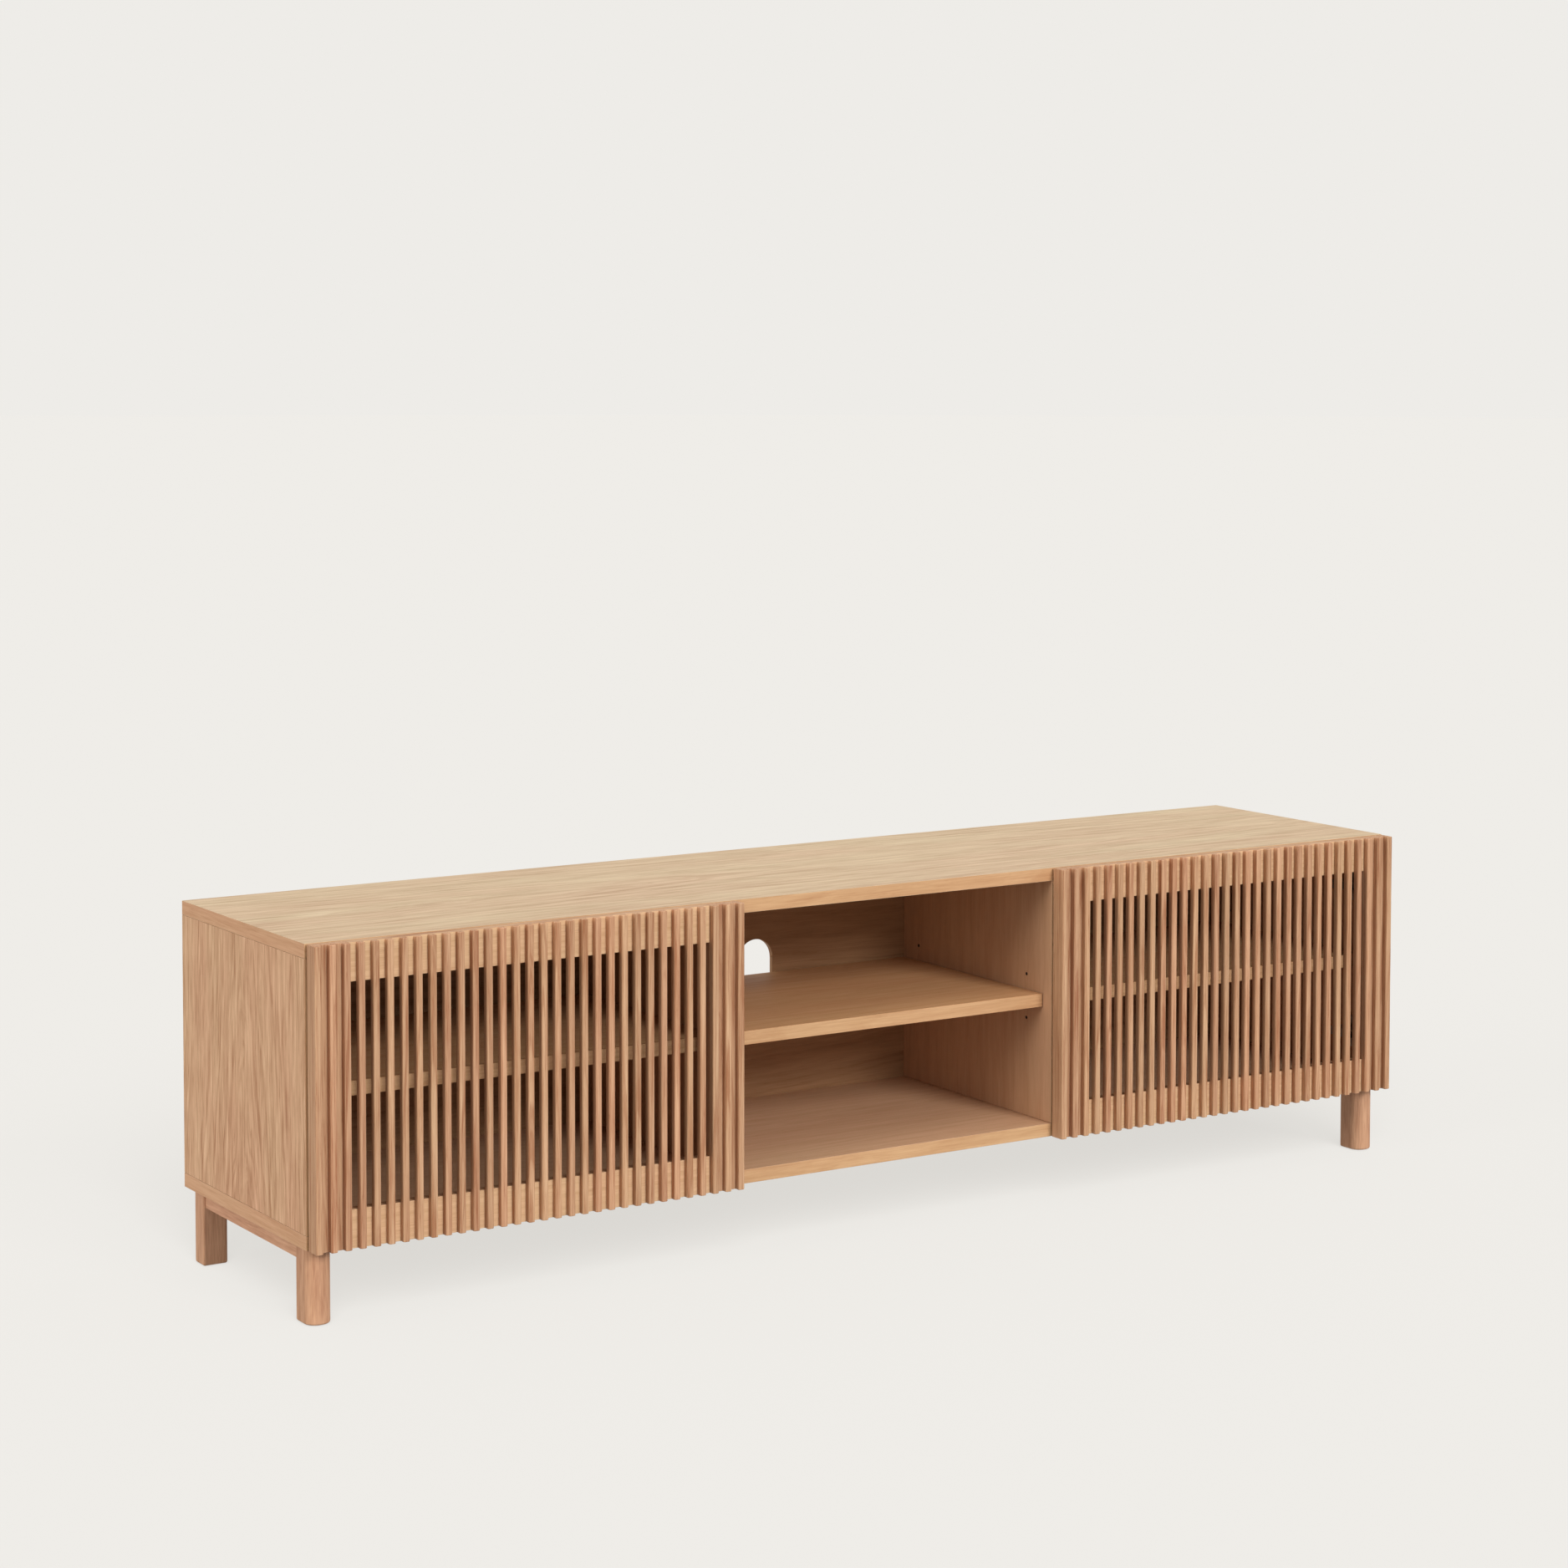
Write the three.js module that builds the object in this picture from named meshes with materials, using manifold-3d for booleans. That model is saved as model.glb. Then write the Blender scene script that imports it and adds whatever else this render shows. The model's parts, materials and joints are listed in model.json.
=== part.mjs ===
// Media cabinet: oak carcass with three bays, two slatted doors and two leg frames.
// Millimetres. +X runs along the width, -Y is the front, +Z is up.
// The origin is on the floor under the centre of the footprint.
import * as THREE from 'three';
import { mergeVertices } from 'three/addons/utils/BufferGeometryUtils.js';
import Module from 'manifold-3d';

const wasm = await Module();
wasm.setup();

// ---------- driving dimensions ----------
const WIDTH = 1800;
const DEPTH = 420;
const HEIGHT = 490;
const PANEL = 19;
const FLOOR_CLEARANCE = 100;
const NICHE_WIDTH = 536;
const SEAM = 0.3;

// how far a cutting solid runs past the face it opens
const OVERSHOOT = 1;

// back panel, held in grooves
const BACK_INSET = 19;
const BACK_THICKNESS = 8;
const GROOVE_DEPTH = 5;
const SLOT_WIDTH = 60;
const SLOT_HEIGHT = 122;

// shelves and their pins
const SHELF_SETBACK = 20;
const SHELF_BACK_GAP = 2;
const BAY_SHELF_GAP = 1;
const NICHE_SHELF_GAP = 1.5;
const PIN_HOLE_RADIUS = 2.5;
const PIN_RADIUS = 2.3;
const PIN_HOLE_DEPTH = 8;
const PIN_LENGTH = 16;
const PIN_END_GAP = 0.5;
const PIN_CHAMFER = 0.5;
const PIN_PITCH = 32;
const PIN_FROM_FRONT = 60;
const PIN_FROM_BACK = 40;
const NOTCH_WIDTH = 6;
const NOTCH_LENGTH = 12;

// base frames
const LEG_WIDTH = 35;
const LEG_DEPTH = 40;
const LEG_RADIUS = 16;
const LEG_SIDE_INSET = 4.5;
const LEG_FRONT_INSET = 3.5;
const LEG_BACK_INSET = 13;
const GLIDE_RADIUS = 11;
const GLIDE_THICKNESS = 1.2;
const GLIDE_CHAMFER = 0.5;
const APRON_HEIGHT = 19;
const APRON_THICKNESS = 18;
const APRON_RECESS = 3;

// doors
const DOOR_GAP = 3;
const DOOR_TOP_DROP = 0.5;
const FRAME_THICKNESS = 15;
const FRAME_WIDTH = 50;
const SLAT_WIDTH = 10;
const SLAT_PITCH = 20;
const SLAT_PROUD = 9;
const SLAT_HOUSED = 1;
const SLAT_RADIUS = 2.5;
const SLAT_COUNT = 32;
const RIBS_ON_STILE = 3;

// cup hinges: the pivot line is set in from the door's outer edge and back face
const HINGE_HEIGHT = 114;
const PIVOT_FROM_EDGE = 5.5;
const PIVOT_FROM_DOOR_BACK = 10;
const CUP_FROM_EDGE = 22.5;
const CUP_BORE_RADIUS = 17.5;
const CUP_BORE_DEPTH = 11.5;
const CUP_WALL = 1.2;
const CUP_FLANGE_RADIUS = 19;
const FLANGE_THICKNESS = 1;
const WING_WIDTH = 14;
const WING_HEIGHT = 54;
const WING_OFFSET = 5;
const LINK_FROM_PIVOT = 20;
const LINK_PIN_DEPTH = 1;
const LINK_PIN_RADIUS = 1.2;
const LINK_EYE_RADIUS = 3.2;
const LINK_HOLE_RADIUS = 1.6;
const LINK_HALF_WIDTH = 2;
const LINK_LENGTH = 42;
const LINK_HALF_HEIGHT = 4.7;
const ARM_LENGTH = 62;
const ARM_REACH = 24;
const ARM_CHEEK_INNER = 5.2;
const ARM_FRONT_GAP = 0.5;
const ARM_NOSE_STEP = 3.2;
const SHEET = 1.5;
const PLATE_HEIGHT = 48;
const PLATE_LENGTH = 22;
const PLATE_THICKNESS = 3.2;
const PLATE_FROM_FRONT = 26;

// push latches
const LATCH_WIDTH = 12;
const LATCH_HEIGHT = 14;
const LATCH_LENGTH = 70;
const LATCH_DROP = 22;
const LATCH_FRONT_INSET = 2;
const PLUNGER_RADIUS = 3.4;
const PLUNGER_BORE = 3.8;
const PLUNGER_LENGTH = 30;
const PLUNGER_PROUD = 2.2;
const STRIKE_RADIUS = 8;
const STRIKE_THICKNESS = 1;

// ---------- derived places ----------
const SIDE_X = WIDTH / 2;
const NICHE_X = NICHE_WIDTH / 2;
const BACK_Y = DEPTH / 2;
const SLAT_FRONT_Y = -DEPTH / 2;
const FRAME_FRONT_Y = SLAT_FRONT_Y + SLAT_PROUD;
const DOOR_BACK_Y = FRAME_FRONT_Y + FRAME_THICKNESS;
const FRONT_Y = DOOR_BACK_Y + DOOR_GAP;
const INNER_TOP = HEIGHT - PANEL;
const INNER_BOTTOM = FLOOR_CLEARANCE + PANEL;
const MID_Z = (INNER_TOP + INNER_BOTTOM) / 2;
const HALF_INNER = (INNER_TOP - INNER_BOTTOM) / 2;
const BACK_FACE_Y = BACK_Y - BACK_INSET;
const PIN_ROWS = [FRONT_Y + PIN_FROM_FRONT, BACK_FACE_Y - PIN_FROM_BACK];
const DOOR_WIDTH = SLAT_PITCH * (SLAT_COUNT - 1) + SLAT_WIDTH;
const DOOR_HEIGHT = HEIGHT - DOOR_TOP_DROP - FLOOR_CLEARANCE;
const DOOR_MID_Z = FLOOR_CLEARANCE + DOOR_HEIGHT / 2;
const DOOR_OUTER_X = -(NICHE_X + DOOR_WIDTH);
const PIVOT_X = DOOR_OUTER_X + PIVOT_FROM_EDGE;
const CUP_X = DOOR_OUTER_X + CUP_FROM_EDGE;
const LINK_X = PIVOT_X + LINK_FROM_PIVOT;
const LINK_Y = DOOR_BACK_Y - LINK_PIN_DEPTH;

// ---------- segments on curves ----------
const SLAT_ARC_STEPS = 3;
const LEG_ARC_STEPS = 8;
const LINK_ARC_STEPS = 8;
const SLOT_ARC_STEPS = 12;
const THIN_BAR_SEGMENTS = 12;
const BAR_SEGMENTS = 16;
const CUP_SEGMENTS = 28;
const WELD_DISTANCE = 1e-4;

// ---------- materials ----------
function material(color, roughness, metalness) {
  return new THREE.MeshStandardMaterial({ color, roughness, metalness });
}

const veneer = material(0xcfa77e, 0.6, 0);
const solidOak = material(0xc99a70, 0.55, 0);
const steel = material(0xb9bbbd, 0.3, 1);
const plastic = material(0xd8d4cc, 0.5, 0);

// ---------- geometry helpers ----------
function box(x0, x1, y0, y1, z0, z1) {
  const geometry = new THREE.BoxGeometry(x1 - x0, y1 - y0, z1 - z0);
  return geometry.translate((x0 + x1) / 2, (y0 + y1) / 2, (z0 + z1) / 2);
}

// An outline in X and Y, extruded along Z.
function prism(shape, z0, z1, steps) {
  const options = { depth: z1 - z0, bevelEnabled: false, curveSegments: steps };
  return new THREE.ExtrudeGeometry(shape, options).translate(0, 0, z0);
}

// A round bar from its start point along +Y.
function barAlongY(radius, length, segments = BAR_SEGMENTS) {
  const geometry = new THREE.CylinderGeometry(radius, radius, length, segments);
  return geometry.translate(0, length / 2, 0);
}

// A thin round bar from its start point along +X.
function barAlongX(radius, length) {
  return barAlongY(radius, length, THIN_BAR_SEGMENTS).rotateZ(-Math.PI / 2);
}

function toSolid(geometry) {
  const bare = geometry.clone();
  bare.deleteAttribute('normal');
  bare.deleteAttribute('uv');
  const merged = mergeVertices(bare, WELD_DISTANCE);
  return new wasm.Manifold(new wasm.Mesh({
    numProp: 3,
    vertProperties: new Float32Array(merged.attributes.position.array),
    triVerts: new Uint32Array(merged.index.array),
  }));
}

function toGeometry(solid) {
  const mesh = solid.getMesh();
  const geometry = new THREE.BufferGeometry();
  geometry.setAttribute('position', new THREE.BufferAttribute(mesh.vertProperties, 3));
  geometry.setIndex(new THREE.BufferAttribute(mesh.triVerts, 1));
  return geometry;
}

function join(geometries) {
  return toGeometry(geometries.map(toSolid).reduce((whole, next) => whole.add(next)));
}

function cut(geometry, cutters) {
  return toGeometry(cutters.map(toSolid).reduce((rest, next) => rest.subtract(next), toSolid(geometry)));
}

function piece(name, geometry, finish) {
  const mesh = new THREE.Mesh(geometry, finish);
  mesh.name = name;
  return mesh;
}

// A group that holds left-hand pieces. The right-hand one is the same pieces turned half a turn about Y,
// so places inside it are for the left side, with Z counted from the turning height.
function handedGroup(side, turnZ) {
  const group = new THREE.Group();
  group.position.z = turnZ;
  group.rotation.y = side === 'left' ? 0 : Math.PI;
  return group;
}

// ---------- carcass ----------
function backGroove(x0, x1, z0, z1) {
  return box(x0, x1, BACK_FACE_Y - SEAM, BACK_FACE_Y + BACK_THICKNESS + SEAM, z0, z1);
}

function endPanel(name, z0, grooveZ) {
  const board = box(-SIDE_X, SIDE_X, FRONT_Y, BACK_Y, z0, z0 + PANEL);
  const reach = SIDE_X - PANEL + GROOVE_DEPTH + SEAM;
  const groove = backGroove(-reach, reach, grooveZ - GROOVE_DEPTH - SEAM, grooveZ + GROOVE_DEPTH + SEAM);
  return piece(name, cut(board, [groove]), veneer);
}

// Three pin holes in each of two rows, drilled from one face of an upright board.
function pinHoles(faceX, direction) {
  const holes = [];
  for (const y of PIN_ROWS) {
    for (const z of [-PIN_PITCH, 0, PIN_PITCH]) {
      const bar = barAlongX(PIN_HOLE_RADIUS, PIN_HOLE_DEPTH + OVERSHOOT);
      const startX = direction > 0 ? faceX - OVERSHOOT : faceX - PIN_HOLE_DEPTH;
      holes.push(bar.translate(startX, y, z));
    }
  }
  return holes;
}

function sidePanel(side) {
  const innerX = -SIDE_X + PANEL;
  const half = HALF_INNER - SEAM;
  const board = box(-SIDE_X, innerX, FRONT_Y, BACK_Y, -half, half);
  const groove = backGroove(innerX - GROOVE_DEPTH - SEAM, innerX + OVERSHOOT, -HALF_INNER, HALF_INNER);
  return piece(`${side}_side_panel`, cut(board, [groove, ...pinHoles(innerX, -1)]), veneer);
}

function partition(side) {
  const half = HALF_INNER - SEAM;
  const board = box(-NICHE_X - PANEL, -NICHE_X, FRONT_Y, BACK_FACE_Y - SEAM, -half, half);
  const holes = [...pinHoles(-NICHE_X - PANEL, 1), ...pinHoles(-NICHE_X, -1)];
  return piece(`${side}_partition`, cut(board, holes), veneer);
}

function backPanel() {
  const halfWidth = SIDE_X - PANEL + GROOVE_DEPTH;
  const halfHeight = HALF_INNER + GROOVE_DEPTH;
  const outline = new THREE.Shape();
  outline.moveTo(-halfWidth, -halfHeight);
  outline.lineTo(halfWidth, -halfHeight);
  outline.lineTo(halfWidth, halfHeight);
  outline.lineTo(-halfWidth, halfHeight);
  outline.closePath();
  const radius = SLOT_WIDTH / 2;
  const straight = SLOT_HEIGHT / 2 - radius;
  const slot = new THREE.Path();
  slot.absarc(0, straight, radius, 0, Math.PI, false);
  slot.absarc(0, -straight, radius, Math.PI, 2 * Math.PI, false);
  slot.closePath();
  outline.holes.push(slot);
  const board = prism(outline, 0, BACK_THICKNESS, SLOT_ARC_STEPS).rotateX(Math.PI / 2);
  const mesh = piece('back_panel', board, veneer);
  mesh.position.set(0, BACK_FACE_Y + BACK_THICKNESS, MID_Z);
  return mesh;
}

// A chamfered steel pin from its left end along +X.
function shelfPin(name, x0, y) {
  const neck = PIN_RADIUS - PIN_CHAMFER;
  const profile = [
    new THREE.Vector2(0, 0),
    new THREE.Vector2(neck, 0),
    new THREE.Vector2(PIN_RADIUS, PIN_CHAMFER),
    new THREE.Vector2(PIN_RADIUS, PIN_LENGTH - PIN_CHAMFER),
    new THREE.Vector2(neck, PIN_LENGTH),
    new THREE.Vector2(0, PIN_LENGTH),
  ];
  const pin = piece(name, new THREE.LatheGeometry(profile, THIN_BAR_SEGMENTS).rotateZ(-Math.PI / 2), steel);
  pin.position.set(x0, y, 0);
  return pin;
}

// A shelf with an open notch over each pin.
function shelf(name, x0, x1) {
  const half = PANEL / 2;
  const board = box(x0, x1, FRONT_Y + SHELF_SETBACK, BACK_FACE_Y - SHELF_BACK_GAP, -half, half);
  const notches = [];
  for (const y of PIN_ROWS) {
    for (const [from, to] of [[x0 - OVERSHOOT, x0 + NOTCH_LENGTH], [x1 - NOTCH_LENGTH, x1 + OVERSHOOT]]) {
      const y0 = y - NOTCH_WIDTH / 2;
      notches.push(box(from, to, y0, y0 + NOTCH_WIDTH, -half - OVERSHOOT, PIN_RADIUS + SEAM));
    }
  }
  return piece(name, cut(board, notches), veneer);
}

function bay(side) {
  const group = handedGroup(side, MID_Z);
  const outerX = -SIDE_X + PANEL;
  const innerX = -NICHE_X - PANEL;
  const inHole = PIN_HOLE_DEPTH - PIN_END_GAP;
  group.add(sidePanel(side), partition(side));
  PIN_ROWS.forEach((y, i) => {
    const row = i === 0 ? 'front' : 'rear';
    group.add(shelfPin(`${side}_shelf_pin_outer_${row}`, outerX - inHole, y));
    group.add(shelfPin(`${side}_shelf_pin_inner_${row}`, innerX + inHole - PIN_LENGTH, y));
    group.add(shelfPin(`centre_shelf_pin_${side}_${row}`, -NICHE_X - inHole, y));
  });
  return group;
}

// The shelves stay out of the turned groups, because their notches open downwards on both sides.
function shelves() {
  const group = new THREE.Group();
  const bayStart = NICHE_X + PANEL + BAY_SHELF_GAP;
  const bayEnd = SIDE_X - PANEL - BAY_SHELF_GAP;
  const nicheEnd = NICHE_X - NICHE_SHELF_GAP;
  group.add(shelf('left_shelf', -bayEnd, -bayStart));
  group.add(shelf('centre_shelf', -nicheEnd, nicheEnd));
  group.add(shelf('right_shelf', bayStart, bayEnd));
  group.position.z = MID_Z;
  return group;
}

function carcass() {
  const group = new THREE.Group();
  group.add(endPanel('top_panel', INNER_TOP, INNER_TOP));
  group.add(endPanel('bottom_panel', FLOOR_CLEARANCE, INNER_BOTTOM));
  group.add(backPanel(), bay('left'), bay('right'), shelves());
  return group;
}

// ---------- base ----------
// A leg's section: flat on the side that faces the other leg, round on the two outer corners.
function legOutline() {
  const half = LEG_WIDTH / 2;
  const outline = new THREE.Shape();
  outline.moveTo(half, LEG_DEPTH);
  outline.lineTo(-half, LEG_DEPTH);
  outline.lineTo(-half, LEG_RADIUS);
  outline.absarc(-half + LEG_RADIUS, LEG_RADIUS, LEG_RADIUS, Math.PI, 1.5 * Math.PI, false);
  outline.absarc(half - LEG_RADIUS, LEG_RADIUS, LEG_RADIUS, 1.5 * Math.PI, 2 * Math.PI, false);
  outline.closePath();
  return outline;
}

function glide(name) {
  const profile = [
    new THREE.Vector2(0, 0),
    new THREE.Vector2(GLIDE_RADIUS - GLIDE_CHAMFER, 0),
    new THREE.Vector2(GLIDE_RADIUS, GLIDE_CHAMFER),
    new THREE.Vector2(GLIDE_RADIUS, GLIDE_THICKNESS),
    new THREE.Vector2(0, GLIDE_THICKNESS),
  ];
  return piece(name, new THREE.LatheGeometry(profile, BAR_SEGMENTS).rotateX(Math.PI / 2), plastic);
}

// A leg with its glide. The group's origin is on the floor at the middle of the round face.
function leg(place) {
  const group = new THREE.Group();
  const bottom = GLIDE_THICKNESS + SEAM;
  const post = prism(legOutline(), bottom, FLOOR_CLEARANCE - SEAM, LEG_ARC_STEPS);
  group.add(piece(`${place}_leg`, post, solidOak));
  const pad = glide(`${place}_glide`);
  pad.position.y = LEG_DEPTH / 2;
  group.add(pad);
  return group;
}

function baseFrame(side) {
  const group = new THREE.Group();
  const sign = side === 'left' ? -1 : 1;
  const outerX = SIDE_X - LEG_SIDE_INSET;
  const front = leg(`${side}_front`);
  front.position.set(sign * (outerX - LEG_WIDTH / 2), FRONT_Y + LEG_FRONT_INSET, 0);
  const rear = leg(`${side}_rear`);
  rear.position.set(sign * (outerX - LEG_WIDTH / 2), BACK_Y - LEG_BACK_INSET, 0);
  rear.rotation.z = Math.PI;
  const y0 = FRONT_Y + LEG_FRONT_INSET + LEG_DEPTH + SEAM;
  const y1 = BACK_Y - LEG_BACK_INSET - LEG_DEPTH - SEAM;
  const z1 = FLOOR_CLEARANCE - SEAM;
  const rail = box(-APRON_THICKNESS, 0, y0, y1, z1 - APRON_HEIGHT, z1);
  const apron = piece(`${side}_apron`, rail, solidOak);
  const apronX = outerX - APRON_RECESS;
  apron.position.x = sign > 0 ? apronX : -apronX + APRON_THICKNESS;
  group.add(front, rear, apron);
  return group;
}

// ---------- doors ----------
// The round-fronted edge of one slat, drawn from its right side to its left side.
function slatFront(outline, x0, x1) {
  const shoulder = SLAT_FRONT_Y + SLAT_RADIUS;
  outline.absarc(x1 - SLAT_RADIUS, shoulder, SLAT_RADIUS, 0, -Math.PI / 2, true);
  outline.absarc(x0 + SLAT_RADIUS, shoulder, SLAT_RADIUS, -Math.PI / 2, -Math.PI, true);
}

function slat(x0, halfHeight) {
  const back = FRAME_FRONT_Y + SLAT_HOUSED;
  const outline = new THREE.Shape();
  outline.moveTo(x0, back);
  outline.lineTo(x0 + SLAT_WIDTH, back);
  slatFront(outline, x0, x0 + SLAT_WIDTH);
  outline.closePath();
  return prism(outline, -halfHeight, halfHeight, SLAT_ARC_STEPS);
}

// A stile with its three slats, as one outline.
function stile(x0) {
  const outline = new THREE.Shape();
  outline.moveTo(x0, DOOR_BACK_Y);
  outline.lineTo(x0 + FRAME_WIDTH, DOOR_BACK_Y);
  for (let i = RIBS_ON_STILE - 1; i >= 0; i--) {
    const left = x0 + i * SLAT_PITCH;
    if (i < RIBS_ON_STILE - 1) outline.lineTo(left + SLAT_WIDTH, FRAME_FRONT_Y);
    slatFront(outline, left, left + SLAT_WIDTH);
    if (i > 0) outline.lineTo(left, FRAME_FRONT_Y);
  }
  outline.closePath();
  return prism(outline, -DOOR_HEIGHT / 2, DOOR_HEIGHT / 2, SLAT_ARC_STEPS);
}

function outerStile(side) {
  const bores = [-HINGE_HEIGHT, HINGE_HEIGHT].map((z) => {
    const bore = barAlongY(CUP_BORE_RADIUS, CUP_BORE_DEPTH + OVERSHOOT, CUP_SEGMENTS);
    return bore.translate(CUP_X, DOOR_BACK_Y - CUP_BORE_DEPTH, z);
  });
  return piece(`${side}_door_outer_stile`, cut(stile(DOOR_OUTER_X), bores), solidOak);
}

// The top rail, the bottom rail and the slats between the stiles.
function grille(side) {
  const x0 = DOOR_OUTER_X + FRAME_WIDTH + SEAM;
  const x1 = -NICHE_X - FRAME_WIDTH - SEAM;
  const half = DOOR_HEIGHT / 2;
  const solids = [
    box(x0, x1, FRAME_FRONT_Y, DOOR_BACK_Y, half - FRAME_WIDTH, half),
    box(x0, x1, FRAME_FRONT_Y, DOOR_BACK_Y, -half, -half + FRAME_WIDTH),
  ];
  for (let i = RIBS_ON_STILE; i < SLAT_COUNT - RIBS_ON_STILE; i++) {
    solids.push(slat(DOOR_OUTER_X + i * SLAT_PITCH, half));
  }
  return piece(`${side}_door_grille`, join(solids), solidOak);
}

// ---------- hinges ----------
function hingeCup(name) {
  const outer = CUP_BORE_RADIUS - SEAM;
  const inner = outer - CUP_WALL;
  const flangeFrom = SEAM;
  const flangeTo = SEAM + FLANGE_THICKNESS;
  const bottom = -CUP_BORE_DEPTH + SEAM;
  const profile = [
    new THREE.Vector2(0, bottom),
    new THREE.Vector2(outer, bottom),
    new THREE.Vector2(outer, flangeFrom),
    new THREE.Vector2(CUP_FLANGE_RADIUS, flangeFrom),
    new THREE.Vector2(CUP_FLANGE_RADIUS, flangeTo),
    new THREE.Vector2(inner, flangeTo),
    new THREE.Vector2(inner, bottom + FLANGE_THICKNESS),
    new THREE.Vector2(0, bottom + FLANGE_THICKNESS),
  ];
  const cup = new THREE.LatheGeometry(profile, CUP_SEGMENTS);
  const wingHalf = WING_HEIGHT / 2;
  const strip = box(WING_OFFSET - WING_WIDTH / 2, WING_OFFSET + WING_WIDTH / 2, flangeFrom, flangeTo,
    -wingHalf, wingHalf);
  const middle = inner + CUP_WALL / 2;
  const clearance = barAlongY(middle, flangeTo + 2 * OVERSHOOT, CUP_SEGMENTS).translate(0, -OVERSHOOT, 0);
  const pinX = LINK_X - CUP_X;
  const pinHalf = Math.sqrt(middle * middle - pinX * pinX);
  const pin = barAlongY(LINK_PIN_RADIUS, 2 * pinHalf, THIN_BAR_SEGMENTS);
  pin.translate(0, -pinHalf, 0).rotateX(Math.PI / 2).translate(pinX, LINK_Y - DOOR_BACK_Y, 0);
  const body = join([cup, cut(strip, [clearance]), pin]);
  const mesh = piece(name, body, steel);
  mesh.position.set(CUP_X, DOOR_BACK_Y, 0);
  return mesh;
}

// A flat link with an eye that turns on the cup's pin. Its tail slides in the arm.
function hingeLink(name) {
  const start = Math.asin(LINK_HALF_WIDTH / LINK_EYE_RADIUS);
  const outline = new THREE.Shape();
  outline.moveTo(LINK_HALF_WIDTH, LINK_LENGTH);
  outline.lineTo(-LINK_HALF_WIDTH, LINK_LENGTH);
  outline.absarc(0, 0, LINK_EYE_RADIUS, Math.PI / 2 + start, 2.5 * Math.PI - start, false);
  outline.closePath();
  const eye = new THREE.Path();
  eye.absarc(0, 0, LINK_HOLE_RADIUS, 0, 2 * Math.PI, true);
  outline.holes.push(eye);
  const mesh = piece(name, prism(outline, -LINK_HALF_HEIGHT, LINK_HALF_HEIGHT, LINK_ARC_STEPS), steel);
  mesh.position.set(LINK_X, LINK_Y, 0);
  return mesh;
}

// The arm: two cheeks and a web over a plate that is screwed to the side panel.
function hingeArm(name) {
  const plateX0 = -SIDE_X + PANEL + SEAM;
  const plateX1 = plateX0 + PLATE_THICKNESS;
  const webX = plateX0 + ARM_REACH;
  const frontY = FRONT_Y + ARM_FRONT_GAP;
  const wideY = frontY + ARM_LENGTH / 3;
  const backY = frontY + ARM_LENGTH;
  const cheek = new THREE.Shape();
  cheek.moveTo(plateX1 + ARM_NOSE_STEP, frontY);
  cheek.lineTo(webX - ARM_NOSE_STEP, frontY);
  cheek.lineTo(webX, wideY);
  cheek.lineTo(webX, backY);
  cheek.lineTo(plateX1 - SHEET, backY);
  cheek.lineTo(plateX1 - SHEET, wideY);
  cheek.closePath();
  const outerZ = ARM_CHEEK_INNER + SHEET;
  const plateY = FRONT_Y + PLATE_FROM_FRONT;
  const solids = [
    prism(cheek, ARM_CHEEK_INNER, outerZ, 1),
    prism(cheek, -outerZ, -ARM_CHEEK_INNER, 1),
    box(webX - SHEET, webX, wideY, backY, -outerZ + SHEET / 2, outerZ - SHEET / 2),
    box(plateX0, plateX1, plateY, plateY + PLATE_LENGTH, -PLATE_HEIGHT / 2, PLATE_HEIGHT / 2),
    box(plateX0, plateX1, plateY, backY, -ARM_CHEEK_INNER - SHEET / 2, ARM_CHEEK_INNER + SHEET / 2),
  ];
  return piece(name, join(solids), steel);
}

function hinge(side, level, z) {
  const group = new THREE.Group();
  group.position.z = z;
  group.add(hingeArm(`${side}_${level}_hinge_arm`));
  group.add(hingeCup(`${side}_${level}_hinge_cup`));
  group.add(hingeLink(`${side}_${level}_hinge_link`));
  return group;
}

// ---------- push latch ----------
function pushLatch(side) {
  const group = new THREE.Group();
  const wallX = -NICHE_X - PANEL - SEAM;
  const midX = wallX - LATCH_WIDTH / 2;
  const frontY = FRONT_Y + LATCH_FRONT_INSET;
  const half = LATCH_HEIGHT / 2;
  const block = box(wallX - LATCH_WIDTH, wallX, frontY, frontY + LATCH_LENGTH, -half, half);
  const bore = barAlongY(PLUNGER_BORE, PLUNGER_LENGTH + 2 * OVERSHOOT).translate(midX, frontY - OVERSHOOT, 0);
  group.add(piece(`${side}_push_latch`, cut(block, [bore]), plastic));
  const plunger = piece(`${side}_latch_plunger`, barAlongY(PLUNGER_RADIUS, PLUNGER_LENGTH), plastic);
  plunger.position.set(midX, frontY - PLUNGER_PROUD, 0);
  const strike = piece(`${side}_strike_plate`, barAlongY(STRIKE_RADIUS, STRIKE_THICKNESS), steel);
  strike.position.set(midX, DOOR_BACK_Y + SEAM, 0);
  group.add(plunger, strike);
  group.position.z = HALF_INNER - LATCH_DROP;
  return group;
}

function door(side) {
  const group = handedGroup(side, DOOR_MID_Z);
  const innerStile = piece(`${side}_door_inner_stile`, stile(-NICHE_X - FRAME_WIDTH), solidOak);
  group.add(outerStile(side), innerStile, grille(side));
  group.add(hinge(side, side === 'left' ? 'upper' : 'lower', HINGE_HEIGHT));
  group.add(hinge(side, side === 'left' ? 'lower' : 'upper', -HINGE_HEIGHT));
  return group;
}

function latch(side) {
  const group = new THREE.Group();
  group.position.z = MID_Z;
  const inner = pushLatch(side);
  if (side === 'right') inner.rotation.y = Math.PI;
  group.add(inner);
  return group;
}

// ---------- assembly ----------
const cabinet = new THREE.Group();
cabinet.add(carcass());
for (const side of ['left', 'right']) {
  cabinet.add(baseFrame(side), door(side), latch(side));
}

export default cabinet;
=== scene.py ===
"""Looks for the media cabinet: oak boards, slatted doors, cup hinges, push latches and leg frames.

Metres, in the row frame: +X along the width, -Y the front, +Z up.
"""

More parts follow.
